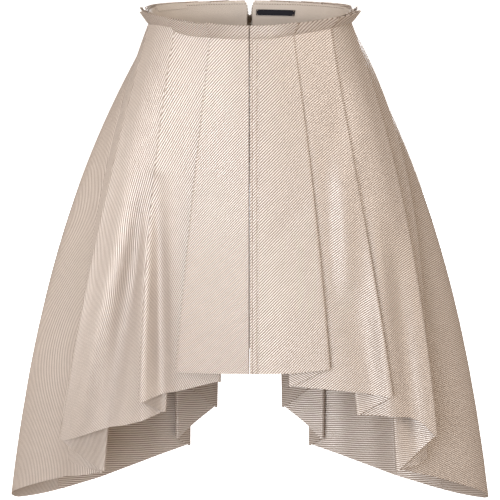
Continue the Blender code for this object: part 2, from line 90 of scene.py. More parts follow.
# columns: name, kind, angle, layer, hip_out, hip_back, low_out, low_back, hem
FRONT_OF_WEARERS_RIGHT = (
    ("centre_front", "edge", 0.0, 0.0, 0.0, -127.0, 0.0, -155.0, 403.0),
    ("panel_1", "bend", 11.0, 0.0, 32.0, -125.5, 51.0, -152.0, 403.0),
    ("fold_1", "out", 22.4, 0.0, 64.0, -119.0, 101.0, -144.0, 403.0),
    ("tuck_1", "in", 10.5, 1.0, 31.0, -119.0, 34.0, -134.0, 416.0),
    ("under_1", "bend", 24.5, 2.1, 67.0, -110.5, 105.0, -127.0, 431.0),
    ("fold_2", "out", 46.8, 0.0, 112.0, -100.0, 137.0, -132.0, 441.5),
    ("tuck_2", "in", 32.0, 2.9, 80.0, -102.0, 104.0, -111.0, 458.0),
    ("under_2", "bend", 49.0, 2.15, 113.0, -90.5, 141.0, -113.0, 470.0),
    ("panel_3", "bend", 64.0, 1.05, 140.0, -78.0, 190.0, -103.0, 483.0),
    ("fold_3", "out", 78.4, 0.0, 161.0, -60.0, 240.0, -80.0, 499.0),
    ("tuck_3", "in", 62.0, 2.25, 131.0, -72.5, 178.0, -77.0, 538.0),
    ("under_3", "bend", 80.0, 2.15, 158.0, -51.0, 204.0, -65.0, 534.0),
    ("fold_4", "out", 100.0, 0.0, 168.0, -30.0, 224.0, -50.0, 530.0),
    ("tuck_4", "in", 86.0, 2.6, 155.0, -45.0, 180.0, -47.0, 547.0),
    ("under_4", "bend", 102.0, 2.15, 164.0, -22.0, 205.0, -32.0, 553.0),
    ("side_panel", "bend", 107.0, 1.6, 175.0, -4.0, 226.0, -15.0, 559.0),
)
FRONT_OF_WEARERS_LEFT = (
    ("centre_front", "edge", 0.0, 0.0, 0.0, -127.0, 0.0, -155.0, 403.0),
    ("panel_1", "bend", 12.5, 0.0, 36.0, -124.5, 55.0, -151.0, 403.0),
    ("fold_1", "out", 24.9, 0.0, 72.0, -116.0, 108.0, -142.0, 400.0),
    ("tuck_1", "in", 13.0, 1.0, 38.0, -117.5, 48.0, -132.0, 422.0),
    ("under_1", "bend", 27.0, 2.1, 76.0, -107.5, 112.0, -125.0, 428.0),
    ("fold_2", "out", 51.8, 0.0, 124.0, -92.0, 190.0, -111.0, 438.5),
    ("tuck_2", "in", 37.0, 3.1, 92.0, -95.0, 138.0, -108.0, 462.0),
    ("under_2", "bend", 54.0, 2.15, 125.0, -82.5, 190.0, -95.0, 466.0),
    ("panel_3", "bend", 69.0, 1.05, 152.0, -66.0, 214.0, -90.0, 474.0),
    ("fold_3", "out", 84.0, 0.0, 171.0, -45.0, 234.0, -82.0, 495.0),
    ("tuck_3", "in", 68.0, 2.25, 142.0, -61.0, 178.0, -75.0, 538.0),
    ("under_3", "bend", 86.0, 2.15, 168.0, -36.0, 204.0, -62.0, 533.0),
    ("fold_4", "out", 104.0, 0.0, 183.0, -14.0, 217.0, -48.0, 529.0),
    ("tuck_4", "in", 91.0, 3.1, 164.5, -31.0, 178.0, -45.0, 543.0),
    ("under_4", "bend", 105.5, 2.3, 176.0, -8.0, 204.0, -31.0, 551.0),
    ("side_panel", "bend", 109.0, 1.6, 182.0, 4.0, 226.0, -15.0, 559.0),
)
BACK = (
    ("side_tip", "bend", 117.0, 0.6, 188.0, 26.0, 291.0, 40.0, 588.0),
    ("tip_turn", "bend", 124.0, 0.2, 178.0, 48.0, 281.0, 65.0, 603.0),
    ("back_corner", "bend", 134.0, 0.0, 141.0, 92.0, 230.0, 103.0, 599.0),
    ("fold_5", "out", 151.0, 0.0, 68.0, 125.0, 77.0, 160.0, 557.0),
    ("tuck_5", "in", 137.0, 1.0, 92.0, 111.0, 95.0, 143.0, 545.0),
    ("under_5", "bend", 153.0, 2.15, 65.0, 116.0, 73.0, 145.0, 528.0),
    ("fold_6", "out", 168.5, 0.0, 32.0, 131.0, 43.0, 152.0, 506.0),
    ("tuck_6", "in", 157.0, 2.65, 56.0, 114.5, 80.0, 130.0, 478.0),
    ("under_6", "bend", 170.0, 2.15, 30.0, 122.5, 40.0, 138.0, 452.0),
    ("centre_back", "edge", 180.0, 1.0, 0.0, 128.0, 0.0, 148.0, 430.0),
)

HALF_ROWS = {-1: FRONT_OF_WEARERS_RIGHT + BACK, 1: FRONT_OF_WEARERS_LEFT + BACK}

# Columns of cloth along each stretch between two folds. The side seam parts the side stretch.
STRETCHES_FRONT = (26, 12, 30, 12, 40, 16, 22, 14)
STRETCHES_SIDE = (45, 35)
STRETCHES_BACK = (12, 22, 12, 22)
STRETCHES = STRETCHES_FRONT + (sum(STRETCHES_SIDE),) + STRETCHES_BACK
# Columns where the side stretch begins and where the side seam lies
SIDE_PANEL = sum(STRETCHES_FRONT) + len(STRETCHES_FRONT) * FOLD_STEPS
SIDE_SEAM = SIDE_PANEL + STRETCHES_SIDE[0]

# Rows of cloth: levels above the waist seam, and how many rows between it and the hem
FRILL_ROWS = (-17.0, -14.0, -11.0, -8.0, -5.5, -3.5, -2.2, -1.2, -0.5)
TOP_LEVEL = 112.0
TOP_ROWS = 14
LOWER_ROWS = 60
SEAM_ROW = len(FRILL_ROWS)
SECTION_STEP = 4.0

# %% [markdown]
# ## Soft rolls
#
# Pressed satin still rolls between its folds. Each row here is one soft trough, or a ridge
# where the depth is below zero. It pushes every layer of cloth at that distance from the
# middle in or out together, so layers never cut into each other, and it fades at both ends.

# %% Rolls of the cloth
# columns: side, face (-1 front, 1 back), out_top, out_low, width, depth, from_level, to_level
ROLLS = (
    (-1, -1, 108.0, 104.0, 11.0, 12.0, 160.0, 500.0),
    (-1, -1, 119.0, 132.0, 8.0, -5.0, 160.0, 500.0),
    (-1, -1, 120.0, 184.0, 13.0, 12.0, 160.0, 560.0),
    (-1, -1, 134.0, 230.0, 14.0, -8.0, 160.0, 560.0),
    (-1, -1, 30.0, 45.0, 22.0, 1.2, 60.0, 390.0),
    (1, -1, 108.0, 110.0, 14.0, 3.0, 50.0, 170.0),
    (1, -1, 110.0, 114.0, 16.0, -6.0, 120.0, 310.0),
    (1, -1, 92.0, 104.0, 10.0, 3.0, 120.0, 330.0),
    (1, -1, 120.0, 150.0, 18.0, 4.0, 290.0, 440.0),
    (1, -1, 146.0, 176.0, 14.0, -6.0, 190.0, 520.0),
    (1, -1, 172.0, 206.0, 13.0, 7.0, 230.0, 540.0),
    (1, -1, 74.0, 18.0, 14.0, 1.8, 180.0, 250.0),
    (1, -1, 34.0, 50.0, 22.0, 1.2, 60.0, 390.0),
    (-1, 1, 164.0, 192.0, 18.0, 7.0, 150.0, 640.0),
    (1, 1, 160.0, 188.0, 18.0, 7.0, 150.0, 640.0),
    (-1, 1, 105.0, 118.0, 16.0, -4.0, 190.0, 600.0),
    (1, 1, 102.0, 120.0, 16.0, -4.0, 170.0, 600.0),
)
ROLL_PAST = 10.0
ROLL_BLEND = 40.0
ROLL_END_POWER = 0.7


def roll(places, side, level):
    """Push the places of one section in or out where soft rolls cross them."""
    out, back = places[:, 0], places[:, 1]
    push = np.zeros(len(places))
    for roll_side, face, out_top, out_low, width, depth, top, bottom in ROLLS:
        if roll_side == side and top < level < bottom:
            share = (level - top) / (bottom - top)
            centre = out_top + (out_low - out_top) * share
            strength = depth * sin(pi * share) ** ROLL_END_POWER
            facing = np.clip((face * back + ROLL_PAST) / ROLL_BLEND, 0, 1)
            push -= face * strength * facing * np.exp(-((out - centre) / width) ** 2)
    places[:, 1] += push


# %% [markdown]
# ## The path of the cloth at one level
#
# Seen from above, half the skirt is a zigzag: out along a panel, round a fold, back under the
# panel to the tuck, round again and out along the next panel. The cloth has a thickness, so a
# fold is a small half circle and never a sharp corner.

# %% Places of the folds at a level
def spread(level):
    """Share of the full flare reached at a level below the waist seam."""
    full = 1 - np.exp(-LOW_LEVEL / SPREAD_LENGTH)
    return (1 - np.exp(-np.maximum(level, 0.0) / SPREAD_LENGTH)) / full


def waist_place(angle, layer):
    """Plan places on the waist ellipse, a number of layers in from its outer face."""
    turn = np.radians(np.asarray(angle, float))
    depth = np.where(np.asarray(angle) < 90, WAIST_FRONT_DEPTH, WAIST_BACK_DEPTH)
    inset = np.asarray(layer, float) * LAYER_PITCH
    return np.stack([(WAIST_HALF_WIDTH - inset) * np.sin(turn),
                     -(depth - inset) * np.cos(turn)], axis=-1)


def waist_height(angle):
    """Height of the waist seam, which dips at the centre front."""
    return -FRONT_DIP * ((1 + np.cos(np.radians(angle))) / 2) ** 3


def unit(vectors):
    return vectors / np.maximum(np.linalg.norm(vectors, axis=-1, keepdims=True), 1e-9)


def frill_share(level):
    """0 at the waist seam and below it, 1 at the top of the frill."""
    return np.clip(-level / FRILL_HEIGHT, 0, 1)


def side_flare(angle):
    """How much further the top of the waist leans out towards the sides."""
    return FRILL_SIDE_FLARE * np.sin(np.radians(angle)) ** 2


def front_share(angle):
    """1 at the centre front, falling to 0 at the sides and staying there round the back."""
    return np.maximum(np.cos(np.radians(angle)), 0.0) ** 2


def frill_out(level, angle, layer, is_fold):
    """How far the frill leans out above the seam: a small step, then a flare."""
    step = FRILL_STEP * np.clip((FRILL_STEP_END - angle) / FRILL_STEP_FADE, 0, 1)
    flare = FRILL_FLARE - step - layer * FRILL_OPENING
    flare = flare + side_flare(angle) + FRILL_FOLD_FLARE * front_share(angle) * is_fold
    return step * np.clip(-level / FRILL_STEP_HEIGHT, 0, 1) + flare * frill_share(level)


def row_places(rows, level):
    """Plan places of all rows of a fold table at one level."""
    numbers = np.array([row[2:] for row in rows])
    angle, layer = numbers[:, 0], numbers[:, 1]
    share = spread(level)
    hip = spread(HIP_LEVEL)
    places = waist_place(angle, layer) * (share - hip) * (share - 1) / hip
    places = places + numbers[:, 2:4] * share * (share - 1) / (hip * (hip - 1))
    places = places + numbers[:, 4:6] * share * (share - hip) / (1 - hip)
    if level < 0:
        is_fold = np.array([row[1] == "out" for row in rows])
        lean = frill_out(level, angle, layer, is_fold)
        places = places + unit(waist_place(angle, 0)) * lean[:, None]
    return places


def fold_radius(level):
    radius = FOLD_RADIUS_WAIST + (FOLD_RADIUS_HEM - FOLD_RADIUS_WAIST) * spread(level)
    return radius + FRILL_OPENING / 2 * frill_share(level)


# %% The zigzag section
def smooth_run(points, count):
    """count + 1 places along a smooth curve through the given ones, spaced by plan length."""
    share = np.linspace(0, 1, count + 1)[:, None]
    if len(points) == 2:
        return points[0] + (points[1] - points[0]) * share
    steps = np.linalg.norm(np.diff(points[:, :2], axis=0), axis=1)
    marks = np.concatenate([[0.0], np.cumsum(steps)])
    high = np.minimum(np.arange(len(points)) + 1, len(points) - 1)
    low = np.maximum(np.arange(len(points)) - 1, 0)
    slopes = (points[high] - points[low]) / (marks[high] - marks[low])[:, None]
    mark = share[:, 0] * marks[-1]
    index = np.clip(np.searchsorted(marks, mark, side="right") - 1, 0, len(points) - 2)
    length = (marks[index + 1] - marks[index])[:, None]
    part = (mark - marks[index])[:, None] / length
    rest = 1 - part
    start = points[index] * (1 + 2 * part) * rest * rest
    end = points[index + 1] * part * part * (3 - 2 * part)
    bend = slopes[index] * part * rest * rest - slopes[index + 1] * part * part * rest
    return start + end + bend * length


def half_section(side, level):
    """Plan section of half the skirt: columns of out, back, hem, angle and rise at the top."""
    rows = HALF_ROWS[side]
    radius = fold_radius(level)
    places = row_places(rows, level)
    guide = np.column_stack([places, [row[8] for row in rows], [row[2] for row in rows],
                             [HEADING_RISE[row[1]] for row in rows]])
    folds = [i for i, row in enumerate(rows) if row[1] in ("out", "in")] + [len(rows) - 1]
    section = []
    first = 0
    start = guide[0]
    for number, (last, count) in enumerate(zip(folds, STRETCHES)):
        before = places[last - 1] if last - first > 1 else start[:2]
        ahead = unit(places[last] - before)
        turn = 1.0 if number % 2 == 0 else -1.0
        inwards = np.array([-ahead[1], ahead[0]]) * turn
        end = guide[last].copy()
        is_fold = last < len(rows) - 1
        if is_fold:
            end[:2] -= ahead * radius
        run = smooth_run(np.vstack([start, guide[first + 1:last], end]), count)
        section.append(run)
        if is_fold:
            middle = end[:2] + inwards * radius
            angles = pi * np.arange(1, FOLD_STEPS)[:, None] / FOLD_STEPS
            arc = middle + radius * (ahead * np.sin(angles) - inwards * np.cos(angles))
            tail = np.tile(end[2:], (FOLD_STEPS - 1, 1))
            section.append(np.hstack([arc, tail]))
            start = end.copy()
            start[:2] = end[:2] + 2 * radius * inwards
        first = last
    section = np.vstack(section)
    roll(section, side, level)
    return section


# %% [markdown]
# ## Headings of the pleats
#
# Above the waist seam each pleat stands up by itself, so the frill isn't an even band. A short
# table lifts the seam line at some angles round the waist. Every layer at an angle is lifted
# alike, the facing too, because layers that moved by themselves would cut into each other. Only
# the front's top edge differs from layer to layer, a little higher at a fold than at a tuck.

# %% Lift of the headings
# columns: angle round the waist, lift of the seam line
HEADINGS = {
    -1: ((0.0, 0.0), (30.0, 0.0), (44.0, 1.0), (56.0, 4.6), (68.0, 4.2), (80.0, 1.2), (90.0, 0.0)),
    1: ((0.0, 0.0), (12.0, 0.0), (27.0, 3.0), (50.0, 4.0), (60.0, 5.0), (70.0, 4.5), (100.0, 0.0)),
}
HEADING_FADE = 60.0
HEADING_RISE = {"out": 2.0, "in": -0.8, "bend": 0.0, "edge": 0.0}


def heading_lift(side, angle, levels):
    """How far cloth at an angle is raised at some levels, most at the seam line."""
    table = np.array(HEADINGS[side])
    lift = np.interp(angle, table[:, 0], table[:, 1])
    below = np.clip(levels / HEADING_FADE, 0, 1)
    return lift * (1 - frill_share(levels)) * (1 - below) ** 2


# %% [markdown]
# ## The cloth of one half
#
# The section is worked out every few millimetres down the skirt, and each column of the cloth
# then gets its own rows between the frill and its own hem. The result is a grid of places: a
# row for each level, a column for each place along the cloth.

# %% The grid of one half
SEAM_TURN = 1.5
SEAM_SHOULDER = 1.7
ZIP_REACH = 14.0


def cloth_levels(hem):
    """Levels of the rows of one column of cloth, from the top of the frill to its hem."""
    share = np.arange(1, LOWER_ROWS + 1) / LOWER_ROWS
    return np.concatenate([FRILL_ROWS, np.linspace(0, TOP_LEVEL, TOP_ROWS + 1),
                           TOP_LEVEL + (hem - TOP_LEVEL) * share])


def back_edge_gap(level):
    """Half the gap at the centre back, where the zip shows and opens towards the top."""
    gap = np.where(level < ZIP_LENGTH, ZIP_HALF_GAP, SEAM_GAP / 2)
    return gap + ZIP_OPEN * frill_share(level)


def draw_back_from_zip(grid, side):
    """Press the last columns together so that the back edge stops short of the zip."""
    last = slice(-(STRETCHES_BACK[-1] + 1), None)
    for row in grid:
        out, back = side * row[last, 0], row[last, 1].copy()
        gap = float(back_edge_gap(-row[-1, 2]))
        moved = np.where(out < ZIP_REACH, gap + out * (1 - gap / ZIP_REACH), out)
        row[last, 1] = np.interp(moved, out[::-1], back[::-1])
        row[last, 0] = side * moved


def half_grid(side):
    """Places over the middle of the cloth, in millimetres. The centre front edge turns in."""
    guide = half_section(side, GUIDE_LEVEL)
    seam = waist_height(guide[:, 3])
    hem_level = guide[:, 2] + seam
    lowest = float(hem_level.max())
    sampled = np.concatenate([FRILL_ROWS, np.arange(0.0, lowest + SECTION_STEP, SECTION_STEP)])
    sections = np.array([half_section(side, level)[:, :2] for level in sampled])
    grid = np.zeros((len(cloth_levels(lowest)), len(guide), 3))
    for column, (angle, rise) in enumerate(guide[:, 3:]):
        levels = cloth_levels(hem_level[column])
        grid[:, column, 0] = side * np.interp(levels, sampled, sections[:, column, 0])
        grid[:, column, 1] = np.interp(levels, sampled, sections[:, column, 1])
        rise = rise * front_share(angle) * frill_share(levels)
        lift = heading_lift(side, angle, levels)
        grid[:, column, 2] = seam[column] - levels + lift + rise
    grid[:, 0, 0] = side * (SEAM_GAP + CLOTH) / 2
    grid[:, 0, 1] = grid[:, 1, 1] + SEAM_TURN
    grid[:, 1, 0] = side * SEAM_SHOULDER
    draw_back_from_zip(grid, side)
    return grid


# %% [markdown]
# ## Ribs that follow the cut
#
# The cloth has diagonal ribs, and each front is cut as part of a wide ring. So the ribs lean at
# the centre front and turn round the waist, towards upright on the wearer's right and towards
# level on the left.
# A UV map that lays each piece out flat keeps them true: across is along a rib, up is across
# the ribs, both in metres. Past the front pleats the ribs of the wearer's right turn more
# slowly, so they stay upright on that side. The back pieces are cut with their ribs level.

# %% Lay the cloth out flat
FAN_RADIUS = 700.0
FAN_TURN = {-1: 1.9, 1: 1.3}
SIDE_RIB_SHARE = {-1: 0.78, 1: 1.0}
RIB_ANGLE = 45.0


def lengths_of(grid, zero_row):
    """Length along each row from the first column, and down each column from one row."""
    across = np.linalg.norm(np.diff(grid, axis=1), axis=2)
    along = np.concatenate([np.zeros((len(grid), 1)), np.cumsum(across, axis=1)], axis=1)
    steps = np.linalg.norm(np.diff(grid, axis=0), axis=2)
    down = np.concatenate([np.zeros((1, grid.shape[1])), np.cumsum(steps, axis=0)], axis=0)
    return along, down - down[zero_row]


def fan_cut(along, down, side):
    """Front pieces: part of a ring, with the ribs at an angle to its middle line."""
    radius = FAN_RADIUS + down
    if along.shape[1] > SIDE_PANEL:
        along = along.copy()
        before = along[:, SIDE_PANEL:SIDE_PANEL + 1]
        along[:, SIDE_PANEL:] = before + (along[:, SIDE_PANEL:] - before) * SIDE_RIB_SHARE[side]
    faster = FAN_TURN[side]
    turn = side * faster * along / radius
    reach = FAN_RADIUS / faster * (radius / FAN_RADIUS) ** faster
    flat = np.stack([reach * np.sin(turn), -reach * np.cos(turn)], axis=-1)
    lean = radians(RIB_ANGLE)
    return np.stack([flat[..., 0] * cos(lean) + flat[..., 1] * sin(lean),
                     -flat[..., 0] * sin(lean) + flat[..., 1] * cos(lean)], axis=-1)


def level_cut(along, down, side):
    """Back pieces: ribs level, so along a rib is along the row."""
    return np.stack([side * along, -down], axis=-1)


# %% Make a mesh from a grid
RIM_ANGLE = 50.0


def new_object(name, data):
    """An object in the scene that stands at the origin."""
    made = bpy.data.objects.new(name, data)
    bpy.context.scene.collection.objects.link(made)
    return made


def plain(piece):
    """Turn a piece with its modifiers into a plain mesh."""
    bpy.context.view_layer.update()
    ready = piece.evaluated_get(bpy.context.evaluated_depsgraph_get())
    mesh = bpy.data.meshes.new_from_object(ready)
    piece.modifiers.clear()
    piece.data = mesh
    return mesh


def sheet_piece(name, grid, flat, thickness):
    """A cloth wall with the grid as its middle and the flat cut as its UV map."""
    height, width = grid.shape[:2]
    mesh = bpy.data.meshes.new(name)
    first = (np.arange(height - 1)[:, None] * width + np.arange(width - 1)).ravel()
    faces = np.stack([first, first + 1, first + width + 1, first + width], axis=1)
    mesh.from_pydata((grid.reshape(-1, 3) * MM).tolist(), [], faces.tolist())
    layer = mesh.uv_layers.new(name="cut")
    corners = np.zeros(len(mesh.loops), int)
    mesh.loops.foreach_get("vertex_index", corners)
    layer.data.foreach_set("uv", (flat.reshape(-1, 2)[corners] * MM).ravel())
    piece = new_object(name, mesh)
    wall = piece.modifiers.new("Wall", "SOLIDIFY")
    wall.thickness = thickness * MM
    wall.offset = 0.0
    mesh = plain(piece)
    mesh.shade_smooth()
    mesh.set_sharp_from_angle(angle=radians(RIM_ANGLE))
    return piece


# %% Make the four skirt pieces
skirt = {}
for side, hand in SIDES:
    grid = half_grid(side)
    along, down = lengths_of(grid, SEAM_ROW)
    ahead = unit(grid[:, SIDE_SEAM + 1] - grid[:, SIDE_SEAM - 1]) * SEAM_GAP / 2
    front = grid[:, :SIDE_SEAM + 1].copy()
    front[:, -1] -= ahead
    back = grid[:, SIDE_SEAM:].copy()
    back[:, 0] += ahead
    fan = fan_cut(along, down, side)
    straight = level_cut(along, down, side)
    order = slice(None) if side > 0 else slice(None, None, -1)
    for name, part, flat in (("front", front, fan[:, :SIDE_SEAM + 1]),
                             ("back", back, straight[:, SIDE_SEAM:])):
        piece = sheet_piece(f"{name}_{hand}_cloth", part[:, order], flat[:, order], CLOTH)
        skirt[f"{name}_{hand}"] = piece

# %% [markdown]
# ## Waist facing, label and loop
#
# Inside the pleats a plain facing covers the seam. A bare woven label and the loop that the
# skirt is hung by are sewn on it. They are strips that follow the waist ellipse.

# %% Facing, label and loop
FACING_LEVELS = np.linspace(-15.5, 22.0, 10)
FACING_FLARE = 3.9
FRONT_FACING_INSET = 10.55
BACK_FACING_INSET = 9.4
FACING_SIDE_ANGLE = 107.0
FACING_SEAM_ANGLE = 0.2
FACING_BACK_ANGLE = 178.2
FACING_FRONT_COLUMNS = 160
FACING_BACK_COLUMNS = 60
LABEL_THICKNESS = 0.7
LABEL_ANGLES = (151.0, 175.9)
LABEL_LEVELS = np.linspace(-7.0, 0.0, 5)
LABEL_COLUMNS = 24
LOOP_ANGLES = (111.0, 139.6)
LOOP_LEVELS = np.linspace(-17.0, -10.0, 5)
LOOP_COLUMNS = 30


def band_grid(angles, count, levels, inset, side=1):
    """Places of a strip that follows the inside of the waist."""
    angle = np.linspace(*angles, count + 1)
    turn = np.abs(angle)
    place = waist_place(turn, inset / LAYER_PITCH)
    outwards = unit(waist_place(turn, 0))
    grid = np.zeros((len(levels), count + 1, 3))
    for row, level in enumerate(levels):
        flare = (FACING_FLARE + side_flare(turn)) * frill_share(level)
        at = place + outwards * flare[:, None]
        grid[row, :, 0] = side * np.where(angle >= 0, at[:, 0], -at[:, 0])
        grid[row, :, 1] = at[:, 1]
        grid[row, :, 2] = waist_height(turn) - level
        hand = np.where(side * angle >= 0, 1, -1)
        for number, (half, at_angle) in enumerate(zip(hand, turn)):
            grid[row, number, 2] += heading_lift(int(half), at_angle, level)
    return grid


def band_piece(name, grid, thickness):
    along, down = lengths_of(grid, 0)
    if grid[0, 0, 0] > grid[0, -1, 0]:
        grid, along, down = grid[:, ::-1], along[:, ::-1], down[:, ::-1]
    return sheet_piece(name, grid, level_cut(along, down, 1), thickness)


bands = {"facing_front": band_piece(
    "facing_front_cloth",
    band_grid((-FACING_SIDE_ANGLE, FACING_SIDE_ANGLE), FACING_FRONT_COLUMNS, FACING_LEVELS,
              FRONT_FACING_INSET), CLOTH)}
for side, hand in SIDES:
    angles = (FACING_SIDE_ANGLE + FACING_SEAM_ANGLE, FACING_BACK_ANGLE)
    bands[f"facing_back_{hand}"] = band_piece(
        f"facing_back_{hand}_cloth",
        band_grid(angles, FACING_BACK_COLUMNS, FACING_LEVELS, BACK_FACING_INSET, side), CLOTH)
inset = BACK_FACING_INSET + CLOTH / 2 + LIE_GAP + LABEL_THICKNESS / 2
label = band_piece("label_cloth", band_grid(LABEL_ANGLES, LABEL_COLUMNS, LABEL_LEVELS, inset),
                   LABEL_THICKNESS)
loop = band_piece("hanger_loop_cloth",
                  band_grid(LOOP_ANGLES, LOOP_COLUMNS, LOOP_LEVELS, inset, -1), LABEL_THICKNESS)
print("label and loop", len(label.data.polygons), len(loop.data.polygons))

# %% [markdown]
# ## The lapped seam and the zip tapes
#
# The centre front seam is covered by a narrow lap that is stitched down along both edges. At
# the back the two edges are held by a zip on two woven tapes. The lap lies on the cloth and the
# tapes lie inside it, so their depth is read from the same section as the cloth itself.

# %% Lap and tapes
LAP_WIDTH = 10.5
LAP_THICKNESS = 0.8
LAP_PLACES = (0.5, 1.8, 5.2, 6.8)
LAP_STITCHES = (3.3, 8.7)
STITCH_DENT = 0.28
STITCH_DENT_REACH = 0.6
TAPE = 1.0
TAPE_EDGE = 2.0
TAPE_WIDTH = 11.0
TAPE_TOP = -12.0
TAPE_TAIL = 4.0
TAPE_ROWS = 40
TAPE_COLUMNS = 6
CHAIN_TOP = 9.0
CHAIN_THICKNESS = 1.6


def depth_at(side, level, out, at_back):
    """How far back the cloth lies at a distance from the centre front or centre back."""
    section = half_section(side, level)
    if at_back:
        line = section[-(STRETCHES_BACK[-1] + 1):][::-1]
    else:
        line = section[:STRETCHES_FRONT[0] + 1]
    return float(np.interp(out, line[:, 0], line[:, 1]))


def zip_depth(level, out=0.0):
    """Depth of the middle of the zip tapes behind the back edges."""
    return depth_at(1, level, max(out, ZIP_HALF_GAP), True) - (CLOTH / 2 + LIE_GAP + TAPE / 2)


def lap_place(out, level, proud):
    """A place at the centre front that stands proud of the middle of the cloth."""
    return out, depth_at(1, level, out, False) - proud, waist_height(0.0) - level


hem_level = FRONT_OF_WEARERS_LEFT[0][8] + waist_height(0.0)
proud = CLOTH / 2 + LIE_GAP + LAP_THICKNESS / 2
dent_steps = (-STITCH_DENT_REACH, 0.0, STITCH_DENT_REACH)
lap_outs = sorted([*LAP_PLACES, SEAM_GAP / 2 + LAP_WIDTH] +
                  [line + step for line in LAP_STITCHES for step in dent_steps])
lap_grid = np.array([[lap_place(out, level, proud - STITCH_DENT *
                                (out in LAP_STITCHES and level > 0.0))
                      for out in lap_outs] for level in cloth_levels(hem_level)])
along, down = lengths_of(lap_grid, SEAM_ROW)
lap = sheet_piece("front_lap_cloth", lap_grid, fan_cut(along, down, 1), LAP_THICKNESS)

tapes = {}
tape_levels = np.concatenate([[TAPE_TOP], [level for level in FRILL_ROWS if level > TAPE_TOP],
                              np.linspace(0, ZIP_LENGTH + TAPE_TAIL, TAPE_ROWS)])
for side, hand in SIDES:
    tape_rows = []
    for level in tape_levels:
        edge = TAPE_EDGE + float(back_edge_gap(min(level, 0.0))) - ZIP_HALF_GAP
        outs = edge + TAPE_WIDTH * np.linspace(0, 1, TAPE_COLUMNS)
        tape_rows.append([(side * out, zip_depth(level, out), -level) for out in outs])
    grid = np.array(tape_rows)
    along, down = lengths_of(grid, 0)
    if side > 0:
        grid, along, down = grid[:, ::-1], along[:, ::-1], down[:, ::-1]
    tapes[f"zip_tape_{hand}"] = sheet_piece(f"zip_tape_{hand}_cloth", grid,
                                            level_cut(along, down, 1), TAPE)
print("tapes", sorted(tapes))

# %% [markdown]
# ## Stitches and teeth
#
# A row of stitches is one shape repeated along a line, which is what Geometry Nodes are for:
# the line is resampled at the stitch pitch, a small rounded shape is set on every point and
# turned along the line, and the copies are made real, so that they become plain mesh.

# %% Geometry Nodes for a run of repeated shapes
def repeat_tree(name, material):
    """A tree that sets one shape at an even pitch along a line of edges."""
    tree = bpy.data.node_groups.new(name, "GeometryNodeTree")
    face = tree.interface
    face.new_socket("Line", in_out="INPUT", socket_type="NodeSocketGeometry")
    sockets = {}
    for title, kind in (("Shape", "NodeSocketObject"), ("Pitch", "NodeSocketFloat")):
        sockets[title] = face.new_socket(title, in_out="INPUT", socket_type=kind)
    face.new_socket("Shapes", in_out="OUTPUT", socket_type="NodeSocketGeometry")
    add = tree.nodes.new
    enter, leave = add("NodeGroupInput"), add("NodeGroupOutput")
    curve, resample = add("GeometryNodeMeshToCurve"), add("GeometryNodeResampleCurve")
    resample.mode = "LENGTH"
    tangent, align = add("GeometryNodeInputTangent"), add("FunctionNodeAlignRotationToVector")
    align.axis = "Z"
    shape, place = add("GeometryNodeObjectInfo"), add("GeometryNodeInstanceOnPoints")
    real, paint = add("GeometryNodeRealizeInstances"), add("GeometryNodeSetMaterial")
    paint.inputs["Material"].default_value = material
    for start, result, end, use in (
            (enter, "Line", curve, "Mesh"), (curve, "Curve", resample, "Curve"),
            (enter, "Pitch", resample, "Length"), (tangent, "Tangent", align, "Vector"),
            (resample, "Curve", place, "Points"), (enter, "Shape", shape, "Object"),
            (shape, "Geometry", place, "Instance"), (align, "Rotation", place, "Rotation"),
            (place, "Instances", real, "Geometry"), (real, "Geometry", paint, "Geometry"),
            (paint, "Geometry", leave, "Shapes")):
        tree.links.new(start.outputs[result], end.inputs[use])
    return tree, {key: socket.identifier for key, socket in sockets.items()}


def plain_mesh(name, build):
    """An object from a bmesh that the build function fills."""
    shape = bmesh.new()
    build(shape)
    bmesh.ops.recalc_face_normals(shape, faces=shape.faces)
    mesh = bpy.data.meshes.new(name)
    shape.to_mesh(mesh)
    shape.free()
    return new_object(name, mesh)


def repeated(name, lines, shape, pitch, tree, sockets):
    """The shape repeated along each line of places, as one plain mesh."""
    points, edges = [], []
    for line in lines:
        edges += [(len(points) + i, len(points) + i + 1) for i in range(len(line) - 1)]
        points += [tuple(np.asarray(place) * MM) for place in line]
    mesh = bpy.data.meshes.new(name)
    mesh.from_pydata(points, edges, [])
    piece = new_object(name, mesh)
    change = piece.modifiers.new("Repeat", "NODES")
    change.node_group = tree
    change[sockets["Shape"]] = shape
    change[sockets["Pitch"]] = pitch * MM
    finished = plain(piece)
    finished.shade_smooth()
    print(name, len(finished.polygons), "faces")
    return piece


# %% [markdown]
# ## Ribbed satin
#
# The cloth is satin woven over thick cords. Its ribs are rounded ridges with grooves between
# them, and fine yarns cross them. The grooves are coloured darker than the ridges, as painted
# shade. Both come from waves on the flat cut: one wave across the ribs for shape, for the
# painted shade in the grooves and for gloss, and a finer one along them for the yarns.

# %% Helpers for materials
def new_material(name):
    material = bpy.data.materials.new(name)
    material.use_nodes = True
    return material, material.node_tree, material.node_tree.nodes["Principled BSDF"]


def feed(tree, node, inputs):
    """Give a node its inputs. Each is a value or another node's output."""
    for key, value in inputs.items():
        if isinstance(value, bpy.types.NodeSocket):
            tree.links.new(value, node.inputs[key])
        else:
            node.inputs[key].default_value = value


def added(tree, kind, inputs, result):
    """One output of a new node."""
    node = tree.nodes.new(kind)
    feed(tree, node, inputs)
    return node.outputs[result]


def calculate(tree, operation, *values):
    node = tree.nodes.new("ShaderNodeMath")
    node.operation = operation
    feed(tree, node, dict(enumerate(values)))
    return node.outputs[0]


def wave(tree, place, pitch):
    """A smooth wave between 0 and 1 with one crest each pitch, in metres."""
    turn = calculate(tree, "MULTIPLY", place, 2 * pi / pitch)
    return calculate(tree, "MULTIPLY_ADD", calculate(tree, "SINE", turn), 0.5, 0.5)


def noise(tree, place, scale, detail=2.0):
    inputs = {"Vector": place, "Scale": scale, "Detail": detail}
    return added(tree, "ShaderNodeTexNoise", inputs, "Fac")


